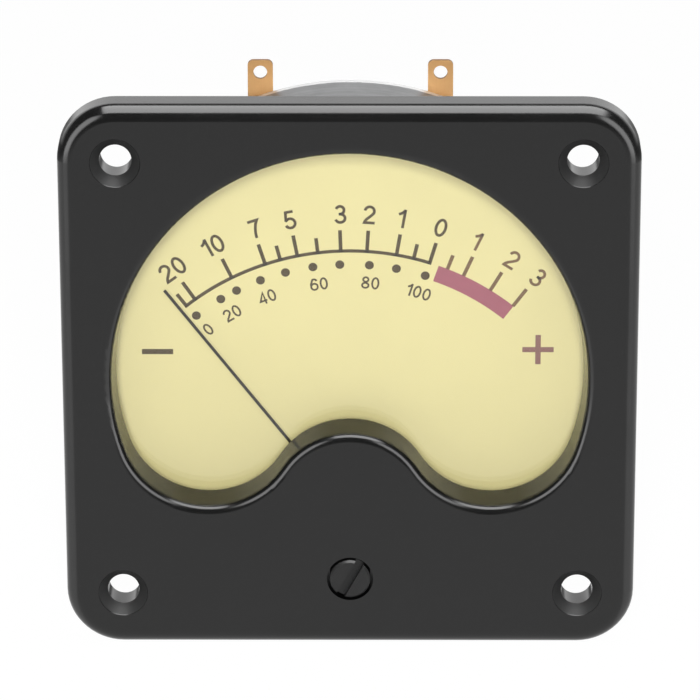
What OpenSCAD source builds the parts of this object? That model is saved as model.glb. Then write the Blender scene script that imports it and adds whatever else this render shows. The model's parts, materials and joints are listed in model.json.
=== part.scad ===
// Analog VU meter with a square moulded front plate, a kidney window and a
// core-magnet moving-coil movement in a round sheet-metal can.
// Millimetres. +X is right, +Z is up, the dial faces -Y. The origin is the
// centre of the front plate's back face, which lies against the panel.

/* [Front plate] */
// Side of the square front plate
plate_w = 70; // [70:0.5:78]
// Thickness of the front plate
plate_t = 4.5; // [4:0.1:5.5]
// Radius of the plate's corners, seen from the front
corner_r = 7; // [6:0.5:9]
// Rounding of the plate's front edge
edge_r = 1.8; // [0.6:0.1:2]
// Distance between mounting holes, both ways
hole_pitch = 56; // [55:0.5:58]
// Bore of the mounting holes
hole_d = 3.9; // [3:0.1:4.5]
// Countersink of the mounting holes, at the front face
sink_d = 6.1; // [5:0.1:7]
// Depth of the countersink
sink_h = 1.3; // [1:0.1:1.8]

/* [Window] */
// Ledge behind the window that the lens is cemented to
lens_seat = 1.9; // [1.6:0.05:2.1]
// Radius of the window's two lower lobes
lobe_r = 10.75; // [10:0.05:11.2]
// How far below level the lobes meet the round top, in degrees
lobe_angle = 18.7; // [17:0.1:20]
// Drop of the hump's top below the plate's centre
hump_drop = 7.05; // [6.5:0.05:8]
// Draft of the window's wall, in degrees
draft = 6; // [4:0.5:7]
// Rounding of the window's front edge
window_edge_r = 1; // [0.5:0.05:1.1]
// Thickness of the clear lens
lens_t = 1.2; // [0.8:0.1:1.4]

/* [Can] */
// Outer radius of the round can
can_r = 32; // [31:0.1:32.5]
// Depth of the can behind the plate
can_depth = 16.3; // [16:0.1:19]
// Thickness of the can's side wall
can_wall = 0.6; // [0.5:0.05:0.8]
// Thickness of the can's back
can_back = 0.8; // [0.6:0.05:1.2]
// Rounding of the can's rear edge
rim_r = 0.9; // [0.7:0.1:1.6]
// Depth of the groove in the plate's back that the can's rim sits in
rim_groove = 0.4; // [0.2:0.1:1]

/* [Dial and pointer] */
// Drop of the pointer's pivot below the plate's centre
pivot_drop = 20.5; // [19.8:0.1:20.8]
// Distance from the plate's back to the front of the dial
dial_y = 4.8; // [4.7:0.05:5.1]
// Thickness of the dial plate
dial_t = 0.5; // [0.3:0.05:0.6]
// Distance from the plate's back to the middle of the pointer
pointer_y = 3.15; // [3.1:0.05:3.3]
// Length of the pointer from the pivot to its tip
pointer_len = 37.3; // [34:0.1:39]
// Width of the pointer where it shows
pointer_w = 0.32; // [0.25:0.01:0.5]
// Angle of the resting pointer, left of straight up
rest_angle = 37.4; // [34:0.1:38]
// Travel that the left stop allows past the rest
rest_margin = 3; // [2:0.5:5]

/* [Zero adjuster] */
// Drop of the adjuster below the plate's centre
adjuster_drop = 26.1; // [25.6:0.1:26.2]
// Diameter of the adjuster's slotted head
adjuster_d = 5; // [4.6:0.1:5.4]
// Width of its screwdriver slot
slot_w = 1.1; // [0.8:0.1:1.4]
// Lean of the slot, clockwise from upright
slot_lean = 29; // [0:1:60]
// Offset of the adjuster's crank pin from its axis
crank = 0.85; // [0.7:0.05:1]
// Radius of the crank pin
crank_pin_r = 0.4; // [0.3:0.05:0.5]

/* [Movement] */
// Radius of the core magnet
core_r = 5.6; // [5.2:0.1:5.8]
// Radial gap between the core and the yoke ring
air_gap = 2; // [1.9:0.05:2.2]
// Wall of the yoke ring
ring_t = 2; // [1.8:0.05:2.1]
// Radius of the moving coil's pivots
pivot_r = 0.28; // [0.22:0.02:0.34]
// Turns of each hairspring
spring_turns = 4; // [3:0.5:5]

/* [Terminals] */
// Distance between the two solder lugs
lug_pitch = 22.2; // [18:0.1:24]
// Height of the terminal studs above the plate's centre
terminal_rise = 21.5; // [20:0.5:23]
// Height of the lugs' tips above the plate's centre
lug_top = 34; // [33.5:0.1:35]
// Width of a lug's strip
lug_w = 3.1; // [2.6:0.1:3.6]
// Thickness of a lug
lug_t = 0.5; // [0.4:0.05:0.8]
// Diameter of the hole in a lug's tip
lug_hole_d = 1.7; // [1.2:0.1:2]
// Radius of the terminal studs
stud_r = 1.4; // [1.2:0.05:1.6]

/* [Fits] */
// Radial clearance of a part that turns in a bore
run_gap = 0.06; // [0.04:0.01:0.09]
// Gap between a fixed part and its seat
seat_gap = 0.03; // [0.02:0.01:0.06]
// Free space beside parts that move past each other
free_gap = 0.3; // [0.25:0.05:0.35]

/* [Hidden] */
$fa = 4;
$fs = 0.25;
past = 1; // how far a cutter runs past a face

// The window, the movement and the terminals are drawn for a can of this
// radius, and follow the one that is asked for
drawn_can_r = 32;
fit = can_r / drawn_can_r;
pivot_z = -pivot_drop * fit;
adjuster_z = -adjuster_drop * fit;
crank_gap = pivot_z - adjuster_z;
lobe = lobe_r * fit;
hump_top = hump_drop * fit;
core_rad = core_r * fit;
terminal_z = terminal_rise * fit;

// Round stack inside the can, from its wall inward
can_in_r = can_r - can_wall;
can_in_y = can_depth - can_back;
corner_step = 0.2; // what stays in the can's inner corner
spigot_t = 0.85;
spigot_h = 3;
spigot_r = can_in_r - seat_gap;
lens_r = spigot_r - spigot_t - 2 * seat_gap;
dial_r = can_in_r - free_gap;

// Window outline: three tangent circles, mirrored. The lobes touch the round
// top from inside, and the hump touches both lobes from outside. A step too
// small to see stands in for the touch, so that no two walls share a line.
seam_step = 0.004;
slope = tan(draft);
slope_len = sqrt(1 + slope * slope);
window_r = lens_r - lens_seat + plate_t * slope;
lobe_x = (window_r - lobe) * cos(lobe_angle);
lobe_z = -(window_r - lobe) * sin(lobe_angle);
hump_r = (pow(lobe_x, 2) + pow(lobe_z + hump_top, 2) - pow(lobe, 2))
    / (2 * (lobe - lobe_z - hump_top));
hump_z = -hump_top - hump_r;
lens_chord_z = lobe_z - lobe - lens_seat / 2;

// Movement stack, along Y from the front
nut_y = 0.3;
nut_h = 0.6;
bridge_y = nut_y + nut_h;
bridge_t = 0.9;
bridge_back = bridge_y + bridge_t;
lever_t = 0.25;
lever_y = bridge_back + 0.05;
flange_y = lever_y + lever_t + 0.05;
flange_t = 0.15;
spring_h = 0.3;
spring_y = flange_y + flange_t + 0.1;
blade_t = 0.2;
dial_gap = 1.2;
core_y = dial_y + dial_t + dial_gap;
leg_t = 0.6;
leg_gap = 0.35;
front_leg_y = core_y - leg_gap - leg_t;
// From the back forward; the core is as long as the depth leaves room for
back_gap = 0.1;
rear_bridge_t = 0.9;
jewel_gap = 0.15;
jewel_front = 0.9;
rear_bridge_y = can_in_y - back_gap - rear_bridge_t;
rear_jewel_y = rear_bridge_y - jewel_front;
rear_spring_y = rear_jewel_y - jewel_gap - spring_h;
rear_leg_y = rear_spring_y - free_gap - leg_t;
core_back = rear_leg_y - leg_gap;
core_len = core_back - core_y;

// Movement radii, round the pivot
ring_in_r = core_rad + air_gap;
ring_r = ring_in_r + ring_t;
ring_mid_r = ring_in_r + ring_t / 2;
coil_mid_r = core_rad + air_gap / 2;
former_t = 0.3;
winding_t = 0.5;
former_r = coil_mid_r - winding_t / 2;
coil_w = 2.2;
frame_r = ring_r + 0.6;
opening_r = ring_r + 0.8;
jewel_r = 1.1;
jewel_nut_w = 3.6;
rear_nut_h = 0.5;
flange_r = 1.6;
bridge_w = 4.6;
bridge_screw_r = 0.55;
bridge_grip = 1.6;
rear_grip = 1.2;
bridge_post_r = 1.25;

// Hairsprings and the parts that hold their outer ends
spring_in_r = 0.75;
spring_strip = 0.12;
spring_pitch = 0.5;
spring_end_r = spring_in_r + spring_turns * spring_pitch;
tab_r = spring_end_r + spring_strip / 2;
tab_w = 0.8;
tab_t = 0.3;

// Pointer, its stops and its balance
blade_root_w = 0.6;
blade_root_len = 8.2;
stop_pin_r = 0.3;
stop_angle = rest_angle + rest_margin;
stop_lean = asin((blade_root_w / 2 + stop_pin_r + 0.05) / ring_mid_r);
arm_len = 5.6;
arm_r = 0.22;
weight_r = 0.75;
side_weight_len = 0.8;
// The tail weight balances the blade: both moments are density times volume
// times distance, with the blade in aluminium and the weight in brass
aluminium = 2.7;
brass = 8.5;
blade_moment = aluminium * blade_t
    * (blade_root_w * pow(blade_root_len, 2) / 2
    + pointer_w * (pow(pointer_len, 2) - pow(blade_root_len, 2)) / 2);
cross_hub_r = 1.1;
tail_arm_moment = brass * PI * pow(arm_r, 2) * (pow(arm_len, 2) - pow(cross_hub_r, 2)) / 2;
weight_area = PI * (pow(weight_r, 2) - pow(arm_r + seat_gap, 2));
tail_weight_len = arm_len
    - sqrt(pow(arm_len, 2) - 2 * (blade_moment - tail_arm_moment) / (brass * weight_area));

// Zero adjuster stack
head_r = adjuster_d / 2;
head_t = 2;
head_proud = 0.2;
head_front = -plate_t - head_proud;
head_gap = 0.35;
head_bevel = 0.25;
slot_depth = 0.9;
shaft_r = 1.5;
shaft_back = 1.2;
clip_y = 0.05;
clip_t = 0.4;
clip_r = 2.5;
neck_r = 1.1;
lever_past = 1.4;
lever_reach = crank_gap + crank + lever_past;
fork_w = 2 * (crank_pin_r + run_gap);

// Places of the screws, studs and bosses
case_screw_x = 12.4;
case_boss_r = 1.9;
case_screw_z = -sqrt(pow(spigot_r - spigot_t, 2) - pow(case_screw_x, 2)) + 0.9;
case_boss_h = can_in_y - 0.1;
case_screw_r = 0.9;
case_grip = 8;
back_head_r = 1.85;
back_head_t = 1.1;
dial_chord_z = case_screw_z + case_boss_r + free_gap;
dial_screw_x = 17;
dial_screw_z = dial_chord_z + 2.3;
dial_screw_r = 0.8;
dial_screw_len = 4;
dial_post_r = 1.9;
foot_x = 15.5;
foot_z = pivot_z + 11.5;
foot_r = 2.4;
foot_screw_r = 0.9;
hole_past = 0.2; // how far a blind hole runs past its screw's end
base_t = 1.3;
base_y = can_in_y - base_t;

// Terminal stack, along Y from the inside
washer_t = 0.8;
washer_r = 3.4;
board_t = 1;
board_w = 28;
board_h = 10;
board_y = can_in_y - washer_t - board_t;
stud_head_t = 1;
stud_head_r = 2.4;
lug_y = can_depth + washer_t;
lug_eye_r = 2.9;
lug_tip_r = 0.7;
terminal_nut_t = 1.6;
terminal_nut_w = 5;
collar_t = 0.7;
stud_past = 0.6;
stud_end = lug_y + lug_t + terminal_nut_t + stud_past;

// ---------- shared shapes ----------

// A flat piece: its outline is drawn as seen from the front, x right, z up
module slab(y0, y1) {
    translate([0, y1, 0]) rotate([90, 0, 0]) linear_extrude(y1 - y0) children();
}

// A round rod along Y
module rod(x, z, r, y0, y1) {
    translate([x, y1, z]) rotate([90, 0, 0]) cylinder(r = r, h = y1 - y0);
}

// A cone or taper along Y, radius r0 at y0 and r1 at y1
module taper(x, z, r0, r1, y0, y1) {
    translate([x, y1, z]) rotate([90, 0, 0]) cylinder(r1 = r1, r2 = r0, h = y1 - y0);
}

// A turned sector: the profile is drawn as [radius, distance in front of
// the plate's back], and angles run counter-clockwise from +X
module sector(x, z, a0, a1) {
    translate([x, 0, z]) rotate([90, 0, 0]) rotate([0, 0, a0])
        rotate_extrude(angle = a1 - a0) children();
}

// Hexagonal nut along Y
module nut(x, z, flats, bore_r, y0, y1) {
    difference() {
        translate([x, y1, z]) rotate([90, 0, 0]) rotate([0, 0, 30])
            cylinder(r = flats / 2 / cos(30), h = y1 - y0, $fn = 6);
        rod(x, z, bore_r, y0 - past, y1 + past);
    }
}

// A slotted screw whose head stands at y_head and whose shank runs to y_end,
// forward or rearward. The slot leans by an angle of its own.
module screw(x, z, head_r, head_t, shank_r, y_head, y_end, lean) {
    way = sign(y_end - y_head);
    top = y_head - way * head_t;
    difference() {
        union() {
            rod(x, z, head_r, min(top, y_head), max(top, y_head));
            rod(x, z, shank_r, min(y_head, y_end), max(y_head, y_end));
        }
        translate([x, top, z]) rotate([0, lean, 0])
            cube([head_r / 3, head_t, 2 * head_r + past], center = true);
    }
}

// A round wire through points, as one swept mesh. No stretch of it may run
// along X, which the rings are set out from.
wire_sides = 8;
function unit(v) = v / norm(v);
function heading(points, i) = i == 0 ? unit(points[1] - points[0])
    : i == len(points) - 1 ? unit(points[i] - points[i - 1])
    : unit(unit(points[i] - points[i - 1]) + unit(points[i + 1] - points[i]));
module wire(points, r) {
    last = len(points) - 1;
    function ring(i) = let(t = heading(points, i), u = unit(cross(t, [1, 0, 0])), w = cross(t, u))
        [for (k = [0 : wire_sides - 1]) let(a = 360 * k / wire_sides)
            points[i] + r * (cos(a) * u + sin(a) * w)];
    function at(i, k) = i * wire_sides + k % wire_sides;
    polyhedron([for (i = [0 : last]) each ring(i)], concat(
        [[for (k = [0 : wire_sides - 1]) at(0, k)]],
        [[for (k = [wire_sides - 1 : -1 : 0]) at(last, k)]],
        [for (i = [0 : last - 1], k = [0 : wire_sides - 1]) [at(i, k), at(i + 1, k), at(i + 1, k + 1)]],
        [for (i = [0 : last - 1], k = [0 : wire_sides - 1]) [at(i, k), at(i + 1, k + 1), at(i, k + 1)]]));
}

// Turns its children round the pointer's pivot, clockwise from the front
module about_pivot(angle) {
    translate([0, 0, pivot_z]) rotate([0, angle, 0]) children();
}

// ---------- front plate and window ----------

// Section of the plate across one side, with both front edges rounded
module plate_section(across) {
    translate([-plate_t + edge_r, -across / 2]) square([plate_t - edge_r, across]);
    translate([-plate_t, -across / 2 + edge_r]) square([plate_t, across - 2 * edge_r]);
    for (side = [-1, 1])
        translate([-plate_t + edge_r, side * (across / 2 - edge_r)]) circle(edge_r);
}

// Quarter of a plate corner, as a profile to be turned
module corner_profile() {
    square([corner_r, plate_t - edge_r]);
    square([corner_r - edge_r, plate_t]);
    translate([corner_r - edge_r, plate_t - edge_r]) circle(edge_r);
}

module plate_blank() {
    straight = plate_w - 2 * corner_r;
    translate([-straight / 2, 0, 0]) rotate([90, 0, 90])
        linear_extrude(straight) plate_section(plate_w);
    translate([0, 0, -straight / 2]) rotate([0, 0, 90]) mirror([0, 1, 0])
        linear_extrude(straight) plate_section(plate_w);
    for (turn = [0 : 90 : 270]) rotate([0, turn, 0])
        sector(straight / 2, straight / 2, 0, 90) corner_profile();
}

// Cutter profile of a window wall that closes in with the draft, flared at
// the front by the edge's rounding
module wall_profile(r) {
    round_c = [r - window_edge_r * slope + window_edge_r * slope_len, plate_t - window_edge_r];
    foot = round_c + window_edge_r / slope_len * [-1, slope];
    polygon([[0, -past], [r - (plate_t + past) * slope, -past], foot,
        [foot[0], plate_t + past], [0, plate_t + past]]);
    difference() {
        polygon([foot, round_c, [round_c[0], plate_t + past], [foot[0], plate_t + past]]);
        translate(round_c) circle(window_edge_r);
    }
}

// Profile of the hump's solid, which widens to the back with the draft
module hump_profile() {
    round_c = [hump_r + window_edge_r * slope - window_edge_r * slope_len, plate_t - window_edge_r];
    foot = round_c + window_edge_r / slope_len * [1, slope];
    polygon([[0, -2 * past], [hump_r + (plate_t + 2 * past) * slope, -2 * past], foot,
        round_c, [round_c[0], plate_t], [0, plate_t]]);
    translate(round_c) circle(window_edge_r);
}

// The kidney window as one cutter: round top, two lobes, and the space
// between them less the hump. The pieces overlap, so no seam is left.
module window_cutter() {
    sector(0, 0, -lobe_angle, 180 + lobe_angle) wall_profile(window_r);
    for (side = [-1, 1])
        sector(side * lobe_x, lobe_z, 0, 360) wall_profile(lobe - seam_step);
    difference() {
        slab(-plate_t - past, past) polygon([[0, lobe], [-lobe_x, 0], [-lobe_x, lobe_z],
            [0, hump_z], [lobe_x, lobe_z], [lobe_x, 0]]);
        sector(0, hump_z, 0, 360) hump_profile();
    }
}

module front_bezel() color([0.16, 0.16, 0.17]) {
    difference() {
        union() {
            plate_blank();
            difference() {
                rod(0, 0, spigot_r, -past / 2, spigot_h);
                rod(0, 0, spigot_r - spigot_t, -past, spigot_h + past);
            }
            intersection() {
                rod(0, 0, spigot_r, -past / 2, case_boss_h);
                for (side = [-1, 1])
                    rod(side * case_screw_x, case_screw_z, case_boss_r, -past / 2, case_boss_h);
            }
        }
        window_cutter();
        for (x = [-1, 1], z = [-1, 1]) {
            rod(x * hole_pitch / 2, z * hole_pitch / 2, hole_d / 2, -plate_t - past, past);
            taper(x * hole_pitch / 2, z * hole_pitch / 2, sink_d / 2, hole_d / 2,
                -plate_t, -plate_t + sink_h);
        }
        difference() {
            rod(0, 0, can_r + 2 * seat_gap, -rim_groove, past);
            rod(0, 0, spigot_r, -rim_groove - past, spigot_h);
        }
        rod(0, adjuster_z, head_r + head_gap, -plate_t - past, -plate_t + head_t);
        rod(0, adjuster_z, shaft_r + run_gap, -plate_t, past);
        for (side = [-1, 1])
            rod(side * case_screw_x, case_screw_z, case_screw_r - 0.1,
                case_boss_h - case_grip - past, case_boss_h + past);
    }
}

module window_lens() color([0.9, 0.95, 0.97, 0.35])
    slab(0, lens_t) difference() {
        circle(lens_r);
        translate([-lens_r, lens_chord_z - 2 * lens_r]) square(2 * lens_r);
    }

// ---------- zero adjuster ----------

module zero_adjuster() color([0.13, 0.13, 0.13]) {
    difference() {
        union() {
            rod(0, adjuster_z, head_r, head_front + head_bevel, -plate_t + head_t - run_gap);
            taper(0, adjuster_z, head_r - head_bevel, head_r, head_front, head_front + head_bevel);
            rod(0, adjuster_z, shaft_r, -plate_t + head_t - 2 * run_gap, shaft_back);
        }
        translate([0, head_front, adjuster_z]) rotate([0, slot_lean, 0])
            cube([slot_w, 2 * slot_depth, adjuster_d + past], center = true);
        difference() {
            rod(0, adjuster_z, shaft_r + past, clip_y, clip_y + clip_t);
            rod(0, adjuster_z, neck_r, clip_y - past, clip_y + clip_t + past);
        }
    }
    rod(0, adjuster_z - crank, crank_pin_r, shaft_back - 0.1, lever_y + lever_t + 0.15);
}

// Spring clip in the adjuster's groove, open at one side
module adjuster_clip() color([0.75, 0.75, 0.78])
    slab(clip_y + seat_gap, clip_y + clip_t - seat_gap) translate([0, adjuster_z])
        difference() {
            circle(clip_r);
            circle(neck_r + seat_gap);
            translate([0, -neck_r * 0.8]) square([clip_r + past, neck_r * 1.6]);
        }

// Lever that carries the front hairspring's outer end and is moved by the
// adjuster's crank pin through a fork
module zero_lever() color([0.83, 0.68, 0.35]) {
    slab(lever_y, lever_y + lever_t) translate([0, pivot_z]) difference() {
        union() {
            circle(flange_r + 0.5);
            translate([-1.2, -lever_reach]) square([2.4, lever_reach]);
            translate([-tab_w / 2, 0]) square([tab_w, tab_r + tab_t]);
        }
        circle(jewel_r + run_gap);
        translate([-fork_w / 2, -lever_reach - past])
            square([fork_w, lever_reach + past - crank_gap]);
    }
    translate([-tab_w / 2, lever_y, pivot_z + tab_r])
        cube([tab_w, spring_y + spring_h - lever_y, tab_t]);
}

// ---------- dial ----------

module dial_plate() color([0.9, 0.85, 0.65])
    slab(dial_y, dial_y + dial_t) difference() {
        circle(dial_r);
        translate([0, pivot_z]) circle(opening_r);
        translate([-dial_r, dial_chord_z - 2 * dial_r]) square(2 * dial_r);
        for (side = [-1, 1])
            translate([side * dial_screw_x, dial_screw_z]) circle(dial_screw_r + 0.1);
    }

module dial_screws() color([0.75, 0.72, 0.6])
    for (side = [-1, 1])
        screw(side * dial_screw_x, dial_screw_z, 1.6, 0.9, dial_screw_r,
            dial_y, dial_y + dial_t + dial_screw_len, 25 * side);

// ---------- moving coil assembly ----------

// Blade with a stiffer root and a hub on the staff
module pointer() color([0.1, 0.09, 0.08])
    slab(pointer_y - blade_t / 2, pointer_y + blade_t / 2) translate([0, pivot_z])
        rotate([0, 0, rest_angle]) difference() {
            union() {
                circle(1.2);
                translate([-blade_root_w / 2, 0]) square([blade_root_w, blade_root_len]);
                translate([-pointer_w / 2, blade_root_len - past])
                    square([pointer_w, pointer_len - blade_root_len + past]);
            }
            circle(0.5 + seat_gap);
        }

// Three-armed cross behind the pointer: two side arms and the tail
module balance_cross() color([0.8, 0.66, 0.36])
    about_pivot(-rest_angle) difference() {
        union() {
            rod(0, 0, cross_hub_r, pointer_y + blade_t / 2 + seat_gap, pointer_y + 0.8);
            for (turn = [90, 180, 270]) rotate([0, turn, 0])
                translate([0, pointer_y + 0.45, 0.6]) cylinder(r = arm_r, h = arm_len - 0.6);
        }
        rod(0, 0, 0.5 + seat_gap, pointer_y, pointer_y + past);
    }

// Sleeves on the arms; the tail's is as long as the balance needs
module balance_weights() color([0.72, 0.56, 0.28])
    about_pivot(-rest_angle) for (place = [[90, side_weight_len], [180, tail_weight_len],
            [270, side_weight_len]]) rotate([0, place[0], 0])
        translate([0, pointer_y + 0.45, arm_len - place[1]]) difference() {
            cylinder(r = weight_r, h = place[1]);
            translate([0, 0, -past]) cylinder(r = arm_r + seat_gap, h = place[1] + 2 * past);
        }

// A rectangular loop round the core, as wide as w along the swing
module coil_loop(inner_r, front, back, wall, w) {
    difference() {
        translate([-inner_r - wall, front - wall, -w / 2])
            cube([2 * (inner_r + wall), back - front + 2 * wall, w]);
        translate([-inner_r, front, -w / 2 - past])
            cube([2 * inner_r, back - front, w + 2 * past]);
    }
}

module coil_former() color([0.82, 0.83, 0.85])
    about_pivot(-rest_angle)
        coil_loop(former_r - former_t / 2, core_y - leg_gap, core_back + leg_gap, former_t / 2, coil_w);

module coil_winding() color([0.72, 0.4, 0.2])
    about_pivot(-rest_angle)
        coil_loop(former_r + seat_gap, core_y - leg_gap - former_t / 2 - seat_gap,
            core_back + leg_gap + former_t / 2 + seat_gap, leg_t - former_t / 2 - seat_gap,
            coil_w - 0.3);

// Staff with its collet for the hairspring and a cone-pointed pivot
module front_staff() color([0.7, 0.71, 0.74]) {
    tip = jewel_seat_y() + 0.05;
    rod(0, pivot_z, 1, front_leg_y - 0.5, front_leg_y - seat_gap);
    rod(0, pivot_z, 0.5, spring_y - 0.05, front_leg_y - seat_gap);
    rod(0, pivot_z, spring_in_r - spring_strip, spring_y - 0.05, spring_y + spring_h);
    rod(0, pivot_z, pivot_r, tip + pivot_r, spring_y);
    taper(0, pivot_z, 0.05, pivot_r, tip, tip + pivot_r);
}

module rear_staff() color([0.7, 0.71, 0.74]) {
    start = rear_leg_y + leg_t + seat_gap;
    rod(0, pivot_z, 0.9, start, start + 0.25);
    rod(0, pivot_z, spring_in_r - spring_strip, start, rear_spring_y + spring_h + 0.05);
    rod(0, pivot_z, pivot_r, rear_spring_y, rear_tip_y() - pivot_r);
    taper(0, pivot_z, pivot_r, 0.05, rear_tip_y() - pivot_r, rear_tip_y());
}

// Depth of the jewels' cups
function jewel_seat_y() = flange_y + flange_t - 0.9;
function rear_tip_y() = rear_jewel_y + 0.85;

// Flat spiral strip from the collet to its anchor tab. turn0 is where the
// outer end lies, and way is +1 or -1 for its hand.
module hairspring(y, turn0, way) {
    steps = 28;
    count = ceil(spring_turns * steps);
    function at(i, off) = let(r = spring_in_r - spring_strip / 2 + spring_pitch * spring_turns * i / count + off,
        a = turn0 - way * 360 * spring_turns * (1 - i / count)) [r * cos(a), r * sin(a)];
    slab(y, y + spring_h) translate([0, pivot_z]) polygon(concat(
        [for (i = [0 : count]) at(i, -spring_strip / 2)],
        [for (i = [count : -1 : 0]) at(i, spring_strip / 2)]));
}

module front_hairspring() color([0.85, 0.6, 0.3])
    hairspring(spring_y, 90, 1);

module rear_hairspring() color([0.85, 0.6, 0.3])
    hairspring(rear_spring_y, 90, -1);

// ---------- jewels and bridges ----------

// Threaded jewel holder with a flange that keeps the zero lever on
module front_jewel_screw() color([0.78, 0.64, 0.34])
    difference() {
        union() {
            rod(0, pivot_z, jewel_r, nut_y - 0.15, flange_y + flange_t);
            rod(0, pivot_z, flange_r, flange_y, flange_y + flange_t);
        }
        rod(0, pivot_z, pivot_r + run_gap, jewel_seat_y() + pivot_r, flange_y + flange_t + past);
        taper(0, pivot_z, 0.05, pivot_r + run_gap, jewel_seat_y(), jewel_seat_y() + pivot_r);
        translate([0, nut_y - 0.15, pivot_z]) rotate([0, 40, 0])
            cube([0.45, 0.7, 2 * jewel_r + past], center = true);
    }

module rear_jewel_screw() color([0.78, 0.64, 0.34])
    difference() {
        rod(0, pivot_z, jewel_r, rear_jewel_y, rear_bridge_y + rear_bridge_t);
        rod(0, pivot_z, pivot_r + run_gap, rear_jewel_y - past, rear_tip_y() + 0.05 - pivot_r);
        taper(0, pivot_z, pivot_r + run_gap, 0.05, rear_tip_y() + 0.05 - pivot_r, rear_tip_y() + 0.05);
        translate([0, rear_bridge_y + rear_bridge_t, pivot_z]) rotate([0, -20, 0])
            cube([0.45, 0.5, 2 * jewel_r + past], center = true);
    }

module jewel_locknuts() color([0.85, 0.7, 0.4]) {
    nut(0, pivot_z, jewel_nut_w, jewel_r + seat_gap, nut_y, bridge_y);
    nut(0, pivot_z, jewel_nut_w, jewel_r + seat_gap, rear_bridge_y - rear_nut_h, rear_bridge_y);
}

// Bar over the moving coil, on two posts that stand on the yoke ring
module front_bridge() color([0.62, 0.63, 0.65])
    difference() {
        union() {
            slab(bridge_y, bridge_back) translate([0, pivot_z]) {
                for (side = [-1, 1]) translate([side * ring_mid_r, 0]) circle(bridge_post_r + 0.4);
                circle(bridge_w / 2);
                translate([-ring_mid_r, -1.5]) square([2 * ring_mid_r, 3]);
            }
            for (side = [-1, 1])
                rod(side * ring_mid_r, pivot_z, bridge_post_r, bridge_y, core_y);
        }
        rod(0, pivot_z, jewel_r + seat_gap, bridge_y - past, bridge_back + past);
        for (side = [-1, 1])
            rod(side * ring_mid_r, pivot_z, bridge_screw_r + seat_gap, bridge_y - past, core_y + past);
    }

// Upright bar behind the coil, let into the frame
module rear_bridge() color([0.62, 0.63, 0.65])
    difference() {
        union() {
            slab(rear_bridge_y, rear_bridge_y + rear_bridge_t) translate([0, pivot_z]) {
                circle(bridge_w / 2);
                translate([-1.5, -ring_mid_r - 1.2]) square([3, 2 * ring_mid_r + 2.4]);
            }
            translate([-tab_w / 2, rear_spring_y, pivot_z + tab_r])
                cube([tab_w, rear_bridge_y + 0.1 - rear_spring_y, tab_t]);
        }
        rod(0, pivot_z, jewel_r + seat_gap, rear_bridge_y - past, can_in_y);
        for (side = [-1, 1])
            rod(0, pivot_z + side * ring_mid_r, bridge_screw_r + seat_gap, rear_bridge_y - past, can_in_y);
    }

module front_bridge_screws() color([0.7, 0.71, 0.74])
    for (side = [-1, 1])
        screw(side * ring_mid_r, pivot_z, 1.1, 0.7, bridge_screw_r, bridge_y,
            core_back + bridge_grip, 30 * side);

module rear_bridge_screws() color([0.7, 0.71, 0.74])
    for (side = [-1, 1])
        rod(0, pivot_z + side * ring_mid_r, bridge_screw_r, rear_bridge_y - rear_grip,
            rear_bridge_y + rear_bridge_t);

// Two pins in the ring's face that the pointer's root meets at each end
module pointer_stops() color([0.6, 0.61, 0.63])
    for (side = [-1, 1]) about_pivot(side * (stop_angle + stop_lean))
        translate([0, 0, ring_mid_r]) rod(0, 0, stop_pin_r, pointer_y - 0.6, core_y + 1);

// ---------- magnet system and frame ----------

module core_magnet() color([0.5, 0.5, 0.52])
    rod(0, pivot_z, core_rad, core_y, core_back);

// Brass blocks above and below the core, clear of the coil's swing
module core_spacers() color([0.8, 0.65, 0.35])
    intersection() {
        difference() {
            rod(0, pivot_z, ring_in_r - seat_gap, core_y + 0.2, core_back - 0.2);
            rod(0, pivot_z, core_rad + seat_gap, core_y - past, core_back + past);
        }
        translate([-1.5, core_y, pivot_z - ring_r]) cube([3, core_len, 2 * ring_r]);
    }

module yoke_ring() color([0.45, 0.45, 0.47])
    difference() {
        rod(0, pivot_z, ring_r, core_y, core_back);
        rod(0, pivot_z, ring_in_r, core_y - past, core_back + past);
        for (side = [-1, 1]) {
            rod(side * ring_mid_r, pivot_z, bridge_screw_r + seat_gap, core_y - past, core_back + past);
            about_pivot(side * (stop_angle + stop_lean)) translate([0, 0, ring_mid_r])
                rod(0, 0, stop_pin_r + seat_gap, core_y - past, core_y + 1 + seat_gap);
        }
    }

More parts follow.
